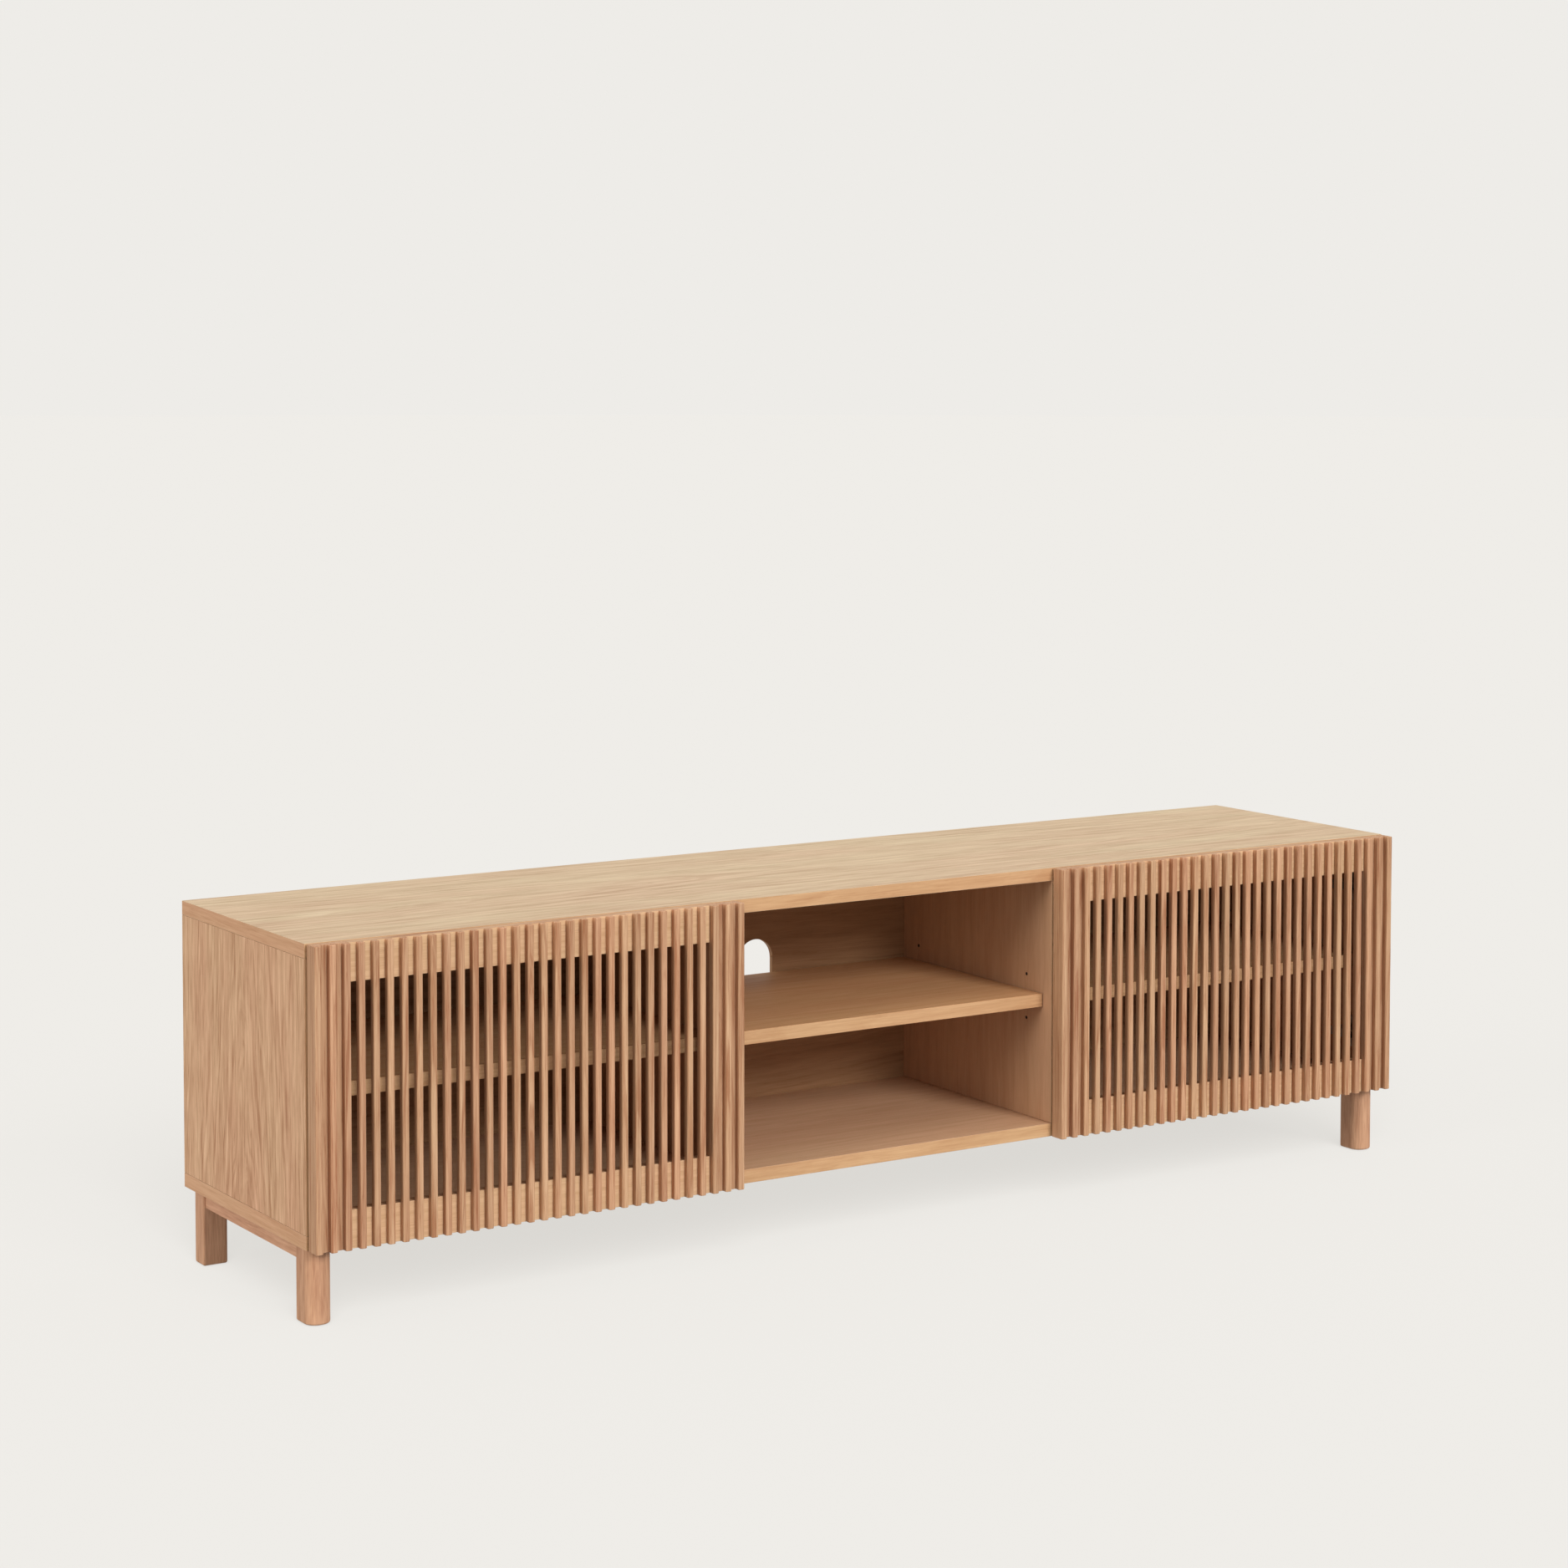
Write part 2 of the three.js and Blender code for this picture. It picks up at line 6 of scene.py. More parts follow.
import json
import math
import random

import bmesh
import bpy
import numpy as np
from mathutils import Matrix, Vector

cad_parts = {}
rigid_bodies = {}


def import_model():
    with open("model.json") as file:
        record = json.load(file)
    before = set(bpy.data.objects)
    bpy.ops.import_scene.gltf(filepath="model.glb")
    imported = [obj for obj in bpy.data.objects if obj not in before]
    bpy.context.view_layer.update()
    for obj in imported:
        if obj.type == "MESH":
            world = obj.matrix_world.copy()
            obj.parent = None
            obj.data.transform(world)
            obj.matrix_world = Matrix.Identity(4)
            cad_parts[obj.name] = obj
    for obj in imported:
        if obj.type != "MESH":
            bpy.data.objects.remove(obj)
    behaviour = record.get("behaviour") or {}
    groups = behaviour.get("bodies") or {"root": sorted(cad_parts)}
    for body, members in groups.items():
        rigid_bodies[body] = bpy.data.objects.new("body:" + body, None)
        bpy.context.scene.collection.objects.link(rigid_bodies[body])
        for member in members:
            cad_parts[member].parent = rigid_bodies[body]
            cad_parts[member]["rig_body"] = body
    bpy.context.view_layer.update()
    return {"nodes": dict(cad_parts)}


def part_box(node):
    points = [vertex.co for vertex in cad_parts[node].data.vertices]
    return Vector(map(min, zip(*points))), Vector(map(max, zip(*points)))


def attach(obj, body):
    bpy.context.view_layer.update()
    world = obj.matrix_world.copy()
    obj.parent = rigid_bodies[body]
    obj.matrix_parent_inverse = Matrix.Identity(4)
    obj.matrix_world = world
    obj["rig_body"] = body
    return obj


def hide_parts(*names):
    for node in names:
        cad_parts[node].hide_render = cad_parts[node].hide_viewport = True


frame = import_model()

# ---------- dimensions that the CAD's boxes don't give ----------
MM = 0.001
SIDES = ("left", "right")
SLAT_COUNT = 32
SLAT_PITCH = 20 * MM
SLAT_WIDTH = 10 * MM
SLAT_PROUD = 9 * MM
SLAT_ROUND = 2.6 * MM
SLAT_PLANED = 0.4 * MM
SLAT_SUNK = 0.02 * MM
RAIL_HEIGHT = 50 * MM
LEG_OUTER_ROUND = 16 * MM
LEG_INNER_ROUND = 3 * MM
FOOT_ROUND = 3 * MM

# how far sharp edges are eased
BOARD_EASE = 0.4 * MM
OUTER_STILE_EASE = 0.5 * MM
DOOR_FRAME_EASE = 0.6 * MM
SLAT_END_EASE = 0.9 * MM
APRON_EASE = 1 * MM
STEEL_EASE = 0.2 * MM
PLASTIC_EASE = 0.6 * MM

# tests on shapes: no distance at all, sharp and flat edges, and how squarely a face looks along an axis
TINY = 1e-6
SHARP_DEGREES = 50
FLAT_DEGREES = 2
SQUARELY = 0.7
PARTLY = 0.3


def lin(r, g, b):
    """An sRGB colour, 0 to 255, as linear RGBA."""
    out = []
    for c in (r, g, b):
        c /= 255
        out.append(c / 12.92 if c <= 0.04045 else ((c + 0.055) / 1.055) ** 2.4)
    return (*out, 1.0)


def grey(level):
    return (level, level, level, 1)


# ---------- camera, light and floor ----------
PALE = lin(238, 236, 232)
WARM = (1.0, 0.985, 0.96)
WARMER = (1.0, 0.93, 0.84)

CAMERA_PLACE = Vector((-2.6476, -4.0291, 1.2298))
CAMERA_YAW = 0.56872
CAMERA_PITCH = -0.05895
CAMERA_ROLL = -0.001
CAMERA_LENS = 77.54
CAMERA_SENSOR = 36
CAMERA_SHIFT = -0.1491
FLOOR_RADIUS = 60


def make_camera():
    yaw, pitch, roll = CAMERA_YAW, CAMERA_PITCH, CAMERA_ROLL
    forward = Vector((math.sin(yaw) * math.cos(pitch), math.cos(yaw) * math.cos(pitch), math.sin(pitch)))
    level = Vector((math.cos(yaw), -math.sin(yaw), 0))
    up = level.cross(forward)
    side = level * math.cos(roll) - up * math.sin(roll)
    top = level * math.sin(roll) + up * math.cos(roll)
    data = bpy.data.cameras.new("camera")
    data.lens = CAMERA_LENS
    data.sensor_width = CAMERA_SENSOR
    data.shift_y = CAMERA_SHIFT
    data.clip_end = 3 * FLOOR_RADIUS
    camera = bpy.data.objects.new("camera", data)
    bpy.context.scene.collection.objects.link(camera)
    stance = Matrix((side, top, -forward)).transposed().to_4x4()
    stance.translation = CAMERA_PLACE
    camera.matrix_world = stance
    bpy.context.scene.camera = camera


# the dome's strength straight up, level with the object and straight down
DOME_TOP = 0.9
DOME_SIDE = 0.55
DOME_UNDER = 0.3
# heights, from 0 straight down to 1 straight up, where the underside's light ends and the side's begins
DOME_UNDER_ENDS = 0.42
DOME_SIDE_BEGINS = 0.52
DOME_COLOUR = (1.0, 0.985, 0.955, 1)


def make_world():
    """An even pale backdrop for the camera, and for the object a soft dome that is brightest overhead."""
    world = bpy.data.worlds.new("studio")
    bpy.context.scene.world = world
    world.use_nodes = True
    tree = world.node_tree
    seen = tree.nodes["Background"]
    seen.inputs["Color"].default_value = PALE
    lit = tree.nodes.new("ShaderNodeBackground")
    lit.inputs["Color"].default_value = DOME_COLOUR
    place = tree.nodes.new("ShaderNodeTexCoord")
    split = tree.nodes.new("ShaderNodeSeparateXYZ")
    # the height that a ray points to, from 0 straight down to 1 straight up
    height = tree.nodes.new("ShaderNodeMath")
    height.operation = "MULTIPLY_ADD"
    height.inputs[1].default_value = 0.5
    height.inputs[2].default_value = 0.5
    ramp = tree.nodes.new("ShaderNodeValToRGB")
    under, top = ramp.color_ramp.elements
    under.color = grey(DOME_UNDER)
    under.position = DOME_UNDER_ENDS
    top.color = grey(DOME_TOP)
    ramp.color_ramp.elements.new(DOME_SIDE_BEGINS).color = grey(DOME_SIDE)
    path = tree.nodes.new("ShaderNodeLightPath")
    mix = tree.nodes.new("ShaderNodeMixShader")
    tree.links.new(place.outputs["Generated"], split.inputs[0])
    tree.links.new(split.outputs["Z"], height.inputs[0])
    tree.links.new(height.outputs[0], ramp.inputs["Fac"])
    tree.links.new(ramp.outputs["Color"], lit.inputs["Strength"])
    tree.links.new(path.outputs["Is Camera Ray"], mix.inputs["Fac"])
    tree.links.new(lit.outputs[0], mix.inputs[1])
    tree.links.new(seen.outputs[0], mix.inputs[2])
    tree.links.new(mix.outputs[0], tree.nodes["World Output"].inputs["Surface"])


KEY_STRENGTH = 1.9
KEY_DIRECTION = Vector((-0.12, 0.9, -0.44))
KEY_ANGLE = 18
FILL_STRENGTH = 1.1
FILL_DIRECTION = Vector((0.85, 0.12, -0.35))
FILL_ANGLE = 25
SHADE_STRENGTH = 11.0
SHADE_DIRECTION = Vector((0.36, 0.76, -0.56))
SHADE_ANGLE = 38
FLOOR_ALBEDO = 0.055
# the share of the backdrop's paleness that the lights give the floor, while the rest glows
FLOOR_LIT = 0.163


def make_sun(name, direction, strength, angle, colour=WARM):
    """A sun that shines along `direction`, and is `angle` degrees wide for soft shadows."""
    data = bpy.data.lights.new(name, "SUN")
    data.energy = strength
    data.angle = math.radians(angle)
    data.color = colour
    sun = bpy.data.objects.new(name, data)
    sun.rotation_mode = "QUATERNION"
    sun.rotation_quaternion = direction.to_track_quat("-Z", "Y")
    bpy.context.scene.collection.objects.link(sun)
    return sun


def make_floor():
    """A wide pale floor that mostly glows, so that its shadow stays as faint as a bright studio's.

    A sun that lights nothing else draws the shadow. It shines away from the camera, so that the shadow
    falls under and behind the object.
    """
    mat = bpy.data.materials.new("studio_floor")
    mat.use_nodes = True
    bsdf = mat.node_tree.nodes["Principled BSDF"]
    bsdf.inputs["Base Color"].default_value = grey(FLOOR_ALBEDO)
    bsdf.inputs["Specular IOR Level"].default_value = 0
    bsdf.inputs["Roughness"].default_value = 1
    glow = [c - FLOOR_LIT for c in PALE[:3]]
    bsdf.inputs["Emission Color"].default_value = (*glow, 1)
    bsdf.inputs["Emission Strength"].default_value = 1
    mesh = bpy.data.meshes.new("floor")
    bm = bmesh.new()
    bmesh.ops.create_circle(bm, cap_ends=True, segments=96, radius=FLOOR_RADIUS)
    bm.to_mesh(mesh)
    bm.free()
    mesh.materials.append(mat)
    floor = bpy.data.objects.new("floor", mesh)
    bpy.context.scene.collection.objects.link(floor)
    floor.visible_diffuse = False
    lit = bpy.data.collections.new("lit_by_shade_sun")
    lit.objects.link(floor)
    shade = make_sun("shade", SHADE_DIRECTION, SHADE_STRENGTH, SHADE_ANGLE)
    shade.light_linking.receiver_collection = lit


bpy.context.scene.view_settings.view_transform = "Standard"
make_camera()
make_world()
make_sun("key", KEY_DIRECTION, KEY_STRENGTH, KEY_ANGLE)
make_sun("fill", FILL_DIRECTION, FILL_STRENGTH, FILL_ANGLE, WARMER)
make_floor()


# ---------- node building ----------
class Nodes:
    """A material's node tree, with each maker returning the output that the next one takes."""

    def __init__(self, name):
        self.mat = bpy.data.materials.new(name)
        self.mat.use_nodes = True
        self.tree = self.mat.node_tree
        self.bsdf = self.tree.nodes["Principled BSDF"]

    def feed(self, socket, value):
        if isinstance(value, bpy.types.NodeSocket):
            self.tree.links.new(value, socket)
        else:
            socket.default_value = value

    def set(self, **values):
        """Feeds the shader's sockets, which are named with underscores for spaces."""
        for key, value in values.items():
            self.feed(self.bsdf.inputs[key.replace("_", " ")], value)

    def attribute(self, name):
        node = self.tree.nodes.new("ShaderNodeAttribute")
        node.attribute_name = name
        return node.outputs["Vector"]

    def math(self, operation, a, b=0.0, clamp=False):
        node = self.tree.nodes.new("ShaderNodeMath")
        node.operation = operation
        node.use_clamp = clamp
        self.feed(node.inputs[0], a)
        self.feed(node.inputs[1], b)
        return node.outputs[0]

    def add(self, a, b, clamp=False):
        return self.math("ADD", a, b, clamp)

    def minus(self, a, b):
        return self.math("SUBTRACT", a, b)

    def times(self, a, b):
        return self.math("MULTIPLY", a, b)

    def scaled(self, vector, scale):
        node = self.tree.nodes.new("ShaderNodeVectorMath")
        node.operation = "MULTIPLY"
        self.feed(node.inputs[0], vector)
        node.inputs[1].default_value = scale
        return node.outputs[0]

    def lifted(self, colour, scale):
        node = self.tree.nodes.new("ShaderNodeVectorMath")
        node.operation = "SCALE"
        self.feed(node.inputs[0], colour)
        self.feed(node.inputs["Scale"], scale)
        return node.outputs[0]

    def split(self, vector):
        node = self.tree.nodes.new("ShaderNodeSeparateXYZ")
        self.feed(node.inputs[0], vector)
        return node.outputs[:3]

    def noise(self, vector=None, w=None, detail=2.0, rough=0.5):
        """Noise at a place, or along a line when only w is given."""
        node = self.tree.nodes.new("ShaderNodeTexNoise")
        node.noise_dimensions = "1D" if vector is None else "3D"
        self.feed(node.inputs["W" if vector is None else "Vector"], w if vector is None else vector)
        node.inputs["Scale"].default_value = 1
        node.inputs["Detail"].default_value = detail
        node.inputs["Roughness"].default_value = rough
        return node.outputs[0]

    def spread(self, value, low, high, to_low=0.0, to_high=1.0, smooth=False):
        node = self.tree.nodes.new("ShaderNodeMapRange")
        node.interpolation_type = "SMOOTHSTEP" if smooth else "LINEAR"
        self.feed(node.inputs["Value"], value)
        node.inputs["From Min"].default_value = low
        node.inputs["From Max"].default_value = high
        node.inputs["To Min"].default_value = to_low
        node.inputs["To Max"].default_value = to_high
        return node.outputs[0]

    def mix(self, fac, a, b, blend="MIX"):
        """A mix of two colours, whose sockets share their names with others and so go by number."""
        node = self.tree.nodes.new("ShaderNodeMix")
        node.data_type = "RGBA"
        node.blend_type = blend
        self.feed(node.inputs[0], fac)
        self.feed(node.inputs[6], a)
        self.feed(node.inputs[7], b)
        return node.outputs[2]

    def bump(self, height, distance, strength):
        node = self.tree.nodes.new("ShaderNodeBump")
        node.inputs["Strength"].default_value = strength
        node.inputs["Distance"].default_value = distance
        self.feed(node.inputs["Height"], height)
        return node.outputs[0]


# ---------- oak ----------
YELLOWISH = (1.0, 1.02, 0.98, 1)
PINKISH = (1.0, 0.92, 0.9, 1)
OAK_ROUGHNESS = 0.54
FIBRE_RELIEF = 0.06 * MM

# noise scales per metre, along the grain, across it and into the wood
SWAY_SCALE = (1.8, 9, 9)
RIPPLE_SCALE = (10, 70, 70)
PATCH_SCALE = (4, 32, 32)
PORE_SCALE = (60, 1900, 1900)
CLOUD_SCALE = (2.2, 13, 13)
RIPPLE_SHARE = 0.14


def trunk_radius(n, grain, depth, taper, wander):
    """How far from the trunk's heart a point lies, with the heart's lean, sway and ripple added."""
    u, v, w = n.split(grain)
    reach = n.math("SQRT", n.add(n.times(v, v), n.math("POWER", n.add(w, depth), 2)))
    sway = n.times(n.minus(n.noise(n.scaled(grain, SWAY_SCALE), detail=3), 0.5), wander)
    ripple = n.times(n.minus(n.noise(n.scaled(grain, RIPPLE_SCALE), detail=2), 0.5), wander * RIPPLE_SHARE)
    return n.add(n.add(reach, n.times(u, taper)), n.add(sway, ripple))


def oak(
    name, light, dark, pitch=0.006, taper=0.05, depth=0.06, wander=0.03, rings=0.4, streaks=0.4,
    fibres=0.35, streak_scale=(5, 95, 95), fibre_scale=(20, 480, 480), tint=0.5,
):
    """Oak from a trunk whose heart lies `depth` behind the face and leans by `taper`, for arched rings.

    The mesh attribute "grain" holds each corner's place in the trunk: x along the grain, y across it and z
    into it. The attribute "shade" holds a piece's own lightness, pinkness and ring contrast.
    """
    n = Nodes(name)
    grain = n.attribute("grain")
    lightness, pinkness, contrast = n.split(n.attribute("shade"))
    radius = trunk_radius(n, grain, depth, taper, wander)
    ring = n.spread(n.noise(w=n.times(radius, 1 / pitch), detail=3, rough=0.65), 0.34, 0.7, smooth=True)
    patch = n.spread(n.noise(n.scaled(grain, PATCH_SCALE), detail=2), 0.36, 0.62, 0.25, 1.0)
    streak = n.spread(n.noise(n.scaled(grain, streak_scale), detail=3, rough=0.6), 0.34, 0.68)
    fibre = n.spread(n.noise(n.scaled(grain, fibre_scale), detail=2, rough=0.6), 0.32, 0.7)
    pore = n.spread(n.noise(n.scaled(grain, PORE_SCALE), detail=1), 0.6, 0.72, smooth=True)
    cloud = n.spread(n.noise(n.scaled(grain, CLOUD_SCALE), detail=3), 0.3, 0.7)
    darkness = n.times(n.times(ring, patch), n.times(n.add(contrast, 1.0), rings))
    darkness = n.add(darkness, n.times(streak, streaks))
    darkness = n.add(darkness, n.times(fibre, fibres))
    darkness = n.add(darkness, n.times(pore, n.times(n.add(ring, 0.3), 0.3)), clamp=True)
    blush = n.add(n.times(cloud, tint), pinkness, clamp=True)
    colour = n.mix(1.0, n.mix(darkness, light, dark), n.mix(blush, YELLOWISH, PINKISH), blend="MULTIPLY")
    height = n.minus(n.times(fibre, -0.4), n.times(pore, 0.6))
    n.set(
        Base_Color=n.lifted(colour, n.add(lightness, 1.0)),
        Roughness=n.spread(darkness, 0, 1, OAK_ROUGHNESS - 0.03, OAK_ROUGHNESS + 0.1),
        Specular_IOR_Level=0.25,
        Normal=n.bump(height, FIBRE_RELIEF, 0.5),
    )
    return n.mat


# The top's veneer is paler and yellower than the sides': partly its own tone, partly painted sheen.
TOP_FACE_PAINTED_SHEEN = oak(
    "oak_veneer_top_painted_sheen", lin(219, 197, 167), lin(170, 141, 111), pitch=0.008, depth=0.05, wander=0.06,
    rings=0.32, streaks=0.4, fibres=0.3, streak_scale=(7, 100, 100), tint=0.8,
)
SIDE_FACE = oak(
    "oak_veneer_side", lin(236, 196, 160), lin(172, 124, 90), pitch=0.0055, taper=0.09, depth=0.04,
    wander=0.06, rings=0.36, streaks=0.42, fibres=0.42, streak_scale=(11, 120, 120),
    fibre_scale=(18, 340, 340), tint=1.0,
)
# The bottom panel and the shelves take two tones of one veneer, set apart to paint how light and shade fall
# in the niche.
INNER_FACE_PAINTED_LIGHTING = oak(
    "oak_veneer_inner", lin(212, 173, 142), lin(188, 147, 114), depth=0.09,
    rings=0.25, streaks=0.4, fibres=0.3,
)
SHELF_FACE_PAINTED_LIGHTING = oak(
    "oak_veneer_shelf_painted_lighting", lin(208, 163, 122), lin(188, 138, 97), depth=0.09,
    rings=0.25, streaks=0.45, fibres=0.3,
)
# The partitions' veneer is darker than the sides': painted shade of the niche.
PLAIN_FACE_PAINTED_SHADE = oak(
    "oak_veneer_plain_painted_shade", lin(206, 166, 134), lin(186, 145, 113), pitch=0.004, taper=0.01, depth=0.4,
    rings=0.12, streaks=0.45, fibres=0.35, streak_scale=(7, 60, 60), tint=0.6,
)
# The back panel's veneer is much darker than the other boards': painted shade of the cabinet's inside.
BACK_FACE_PAINTED_SHADE = oak(
    "oak_veneer_back_painted_shade", lin(174, 134, 99), lin(138, 99, 67), pitch=0.01, taper=0.06, wander=0.06,
    rings=0.35, streaks=0.4, fibres=0.25, streak_scale=(5, 50, 50),
)
# A near-black oak for the walls of the shelf-pin holes: painted shade.
BORE_PAINTED_SHADE = oak("oak_bore_painted_shade", lin(62, 40, 28), lin(40, 25, 18), rings=0.2)
BAND = oak(
    "oak_edge_band", lin(216, 175, 134), lin(186, 138, 98), pitch=0.004, taper=0.02, depth=0.2,
    rings=0.3, streaks=0.4, fibres=0.35, streak_scale=(7, 200, 200),
)
END_BAND = oak(
    "oak_end_band", lin(218, 175, 139), lin(188, 140, 104), pitch=0.004, taper=0.02, depth=0.2,
    rings=0.25, streaks=0.35, fibres=0.4, streak_scale=(8, 180, 180), tint=0.9,
)
LEG = oak(
    "solid_oak_leg", lin(216, 172, 139), lin(168, 120, 91), pitch=0.005, depth=0.1, rings=0.25,
    fibres=0.4, streak_scale=(14, 170, 170), fibre_scale=(30, 500, 500), tint=0.8,
)
SOLID = oak(
    "solid_oak_lacquered", lin(216, 179, 144), lin(157, 106, 74), pitch=0.003, taper=0.02, depth=0.1,
    wander=0.012, streaks=0.5, fibres=0.36, streak_scale=(7, 420, 420), fibre_scale=(20, 900, 900), tint=0.35,
)
# A lighter oak for the rails' front faces, seen between the slats: painted light against the shade in the
# grooves.
RAIL_FRONT_PAINTED_LIGHT = oak(
    "solid_oak_rail", lin(228, 193, 155), lin(198, 156, 118), pitch=0.005, taper=0.02, depth=0.2, wander=0.02,
    rings=0.3, streaks=0.4, fibres=0.2, streak_scale=(8, 160, 160), fibre_scale=(20, 420, 420), tint=0.9,
)


# ---------- metal and plastic ----------
BRUSH_RELIEF = 0.03 * MM
MOULD_RELIEF = 0.05 * MM


def darker(colour, share):
    return tuple(c * share for c in colour[:3]) + (1,)


def metal(name, colour, rough, brush_scale):
    n = Nodes(name)
    grain = n.attribute("grain")
    brushed = n.noise(n.scaled(grain, brush_scale), detail=3)
    clouds = n.noise(n.scaled(grain, (90, 90, 90)), detail=2)
    n.set(
        Base_Color=n.mix(n.spread(clouds, 0.3, 0.7), colour, darker(colour, 0.86)),
        Metallic=1.0,
        Roughness=n.spread(brushed, 0.3, 0.7, rough - 0.06, rough + 0.1),
        Normal=n.bump(brushed, BRUSH_RELIEF, 0.4),
    )
    return n.mat


def plastic(name, colour, rough):
    n = Nodes(name)
    grain = n.attribute("grain")
    texture = n.noise(n.scaled(grain, (1500, 1500, 1500)), detail=1)
    clouds = n.noise(n.scaled(grain, (60, 60, 60)), detail=2)
    n.set(
        Base_Color=n.mix(n.spread(clouds, 0.3, 0.7), colour, darker(colour, 0.93)),
        Roughness=n.spread(texture, 0.3, 0.7, rough - 0.05, rough + 0.08),
        Normal=n.bump(texture, MOULD_RELIEF, 0.5),
    )
    return n.mat


STEEL = metal("zinc_plated_steel", lin(196, 198, 200), 0.3, (120, 2400, 2400))
PLASTIC = plastic("pale_moulded_plastic", lin(214, 210, 202), 0.5)


# ---------- mesh building ----------
SEED_STEP = 7919
SMOOTH_DEGREES = 30


def seeded(name):
    """A random source that depends only on the piece's name."""
    return random.Random(sum((i + 1) * ord(c) for i, c in enumerate(name)) * SEED_STEP)


def write_grain(mesh, name, along, shade, thick):
    """Stores each corner's place in its wood, in metres, with the grain along one axis.

    A board that is given its thickness axis has veneer of its own on each face. Anything else is solid.
    """
    rnd = seeded(name)
    places = np.empty(len(mesh.vertices) * 3)
    mesh.vertices.foreach_get("co", places)
    places = places.reshape(-1, 3)
    centre = (places.min(0) + places.max(0)) / 2
    others = [a for a in range(3) if a != along]
    spare = next(a for a in others if a != thick)
    veneers = [(rnd.uniform(-5, 5), rnd.uniform(-0.03, 0.03), rnd.uniform(-0.02, 0.04)) for _ in range(6)]
    heart = (rnd.uniform(-0.06, 0.06), rnd.uniform(-0.02, 0.08), rnd.uniform(-5, 5))
    grain = np.zeros((len(mesh.loops), 3))
    for polygon in mesh.polygons:
        normal = polygon.normal
        axis = max(range(3), key=lambda a: abs(normal[a]))
        veneer = veneers[axis * 2 + (normal[axis] > 0)]
        for corner in polygon.loop_indices:
            p = places[mesh.loops[corner].vertex_index] - centre
            if thick is None:
                grain[corner] = (p[along] + heart[2], p[others[0]] + heart[0], p[others[1]] + heart[1])
            elif axis == thick:
                grain[corner] = (p[along] + veneer[0], p[spare] + veneer[1], veneer[2])
            else:
                run = spare if axis == along else along
                grain[corner] = (p[run] + veneer[0], p[thick] + veneer[1], veneer[2])
    attribute = mesh.attributes.new("grain", "FLOAT_VECTOR", "CORNER")
    attribute.data.foreach_set("vector", grain.astype(np.float32).ravel())
    attribute = mesh.attributes.new("shade", "FLOAT_VECTOR", "CORNER")
    attribute.data.foreach_set("vector", np.tile(np.array(shade, np.float32), len(mesh.loops)))


def add_piece(name, bm, body, materials, replaces=(), along=2, shade=(0, 0, 0), thick=None):
    """A visual piece that rides on a body and stands in for the CAD nodes that it replaces."""
    mesh = bpy.data.meshes.new(name)
    bmesh.ops.recalc_face_normals(bm, faces=bm.faces)
    bm.to_mesh(mesh)
    bm.free()
    for m in materials:
        mesh.materials.append(m)
    obj = bpy.data.objects.new(name, mesh)
    bpy.context.scene.collection.objects.link(obj)
    write_grain(mesh, name, along, shade, thick)
    mesh.shade_smooth()
    mesh.set_sharp_from_angle(angle=math.radians(SMOOTH_DEGREES))
    weighted = obj.modifiers.new("weighted_normals", "WEIGHTED_NORMAL")
    weighted.keep_sharp = True
    weighted.weight = 100
    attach(obj, body)
    if replaces:
        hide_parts(*replaces)


def sharp_edges(bm, shortest=0.0):
    sharp = math.radians(SHARP_DEGREES)
    edges = [e for e in bm.edges if len(e.link_faces) == 2 and e.calc_face_angle(0) > sharp]
    return [e for e in edges if e.calc_length() > shortest]


def edges_at(bm, *heights):
    """The edges that lie all in one of the level planes at these heights."""
    return [e for e in bm.edges for z in heights if all(abs(v.co.z - z) < TINY for v in e.verts)]


def bevel(bm, edges, width, segments=2):
    settings = {"segments": segments, "profile": 0.5, "affect": "EDGES", "clamp_overlap": True}
    bmesh.ops.bevel(bm, geom=edges, offset=width, **settings)


def join_flat_faces(bm):
    bmesh.ops.dissolve_limit(bm, angle_limit=math.radians(FLAT_DEGREES), verts=bm.verts, edges=bm.edges)


def box_mesh(lo, hi, ease):
    bm = bmesh.new()
    bmesh.ops.create_cube(bm, size=1)
    size = Vector(hi) - Vector(lo)
    centre = (Vector(hi) + Vector(lo)) / 2
    for v in bm.verts:
        v.co = Vector((v.co.x * size.x, v.co.y * size.y, v.co.z * size.z)) + centre
    bevel(bm, list(bm.edges), ease)
    return bm


def cad_mesh(node):
    """The CAD node's own shape, with its triangles joined at their corners."""
    bm = bmesh.new()
    bm.from_mesh(frame["nodes"][node].data)
    bmesh.ops.remove_doubles(bm, verts=bm.verts, dist=TINY)
    return bm


def extrude_z(points, z0, z1):
    bm = bmesh.new()
    low = [bm.verts.new((x, y, z0)) for x, y in points]
    face = bm.faces.new(low)
    made = bmesh.ops.extrude_face_region(bm, geom=[face])["geom"]
    for v in made:
        if isinstance(v, bmesh.types.BMVert):
            v.co.z = z1
    bmesh.ops.recalc_face_normals(bm, faces=bm.faces)
    return bm


